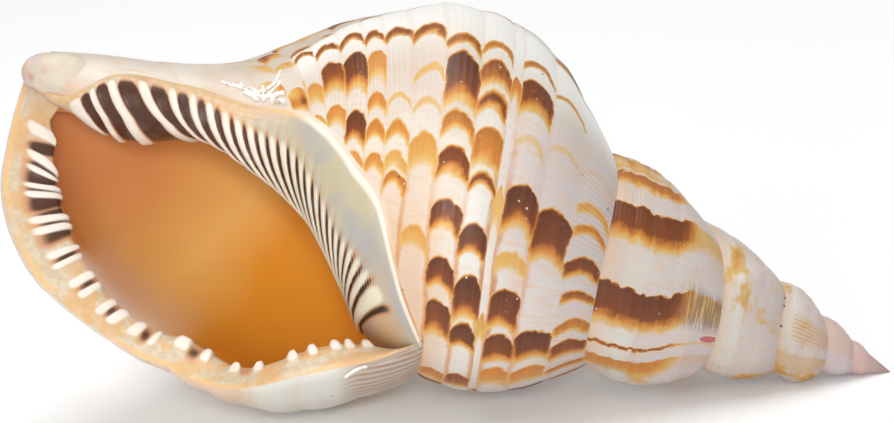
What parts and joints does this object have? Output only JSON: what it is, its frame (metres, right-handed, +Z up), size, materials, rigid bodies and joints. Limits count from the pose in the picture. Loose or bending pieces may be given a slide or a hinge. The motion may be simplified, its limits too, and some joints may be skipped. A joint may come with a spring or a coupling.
{
  "type": "triton shell",
  "caption": "Large coiled sea snail shell lying on its side, with a tall pointed spire, low spiral cords and a wide toothed mouth that opens into the hollow last whorl.",
  "frame": {"origin": "centre of the shell's box on the surface it lies on", "axes": "+Z up, +X towards the spire's tip, -Y towards the side that the mouth faces"},
  "size_m": [0.2668, 0.1286, 0.1232],
  "materials": {
    "shell": "natural shell, cream with brown crescents, satin outside and glossy orange inside"
  },
  "bodies": {
    "root": {"shell": "shell"}
  },
  "joints": []
}
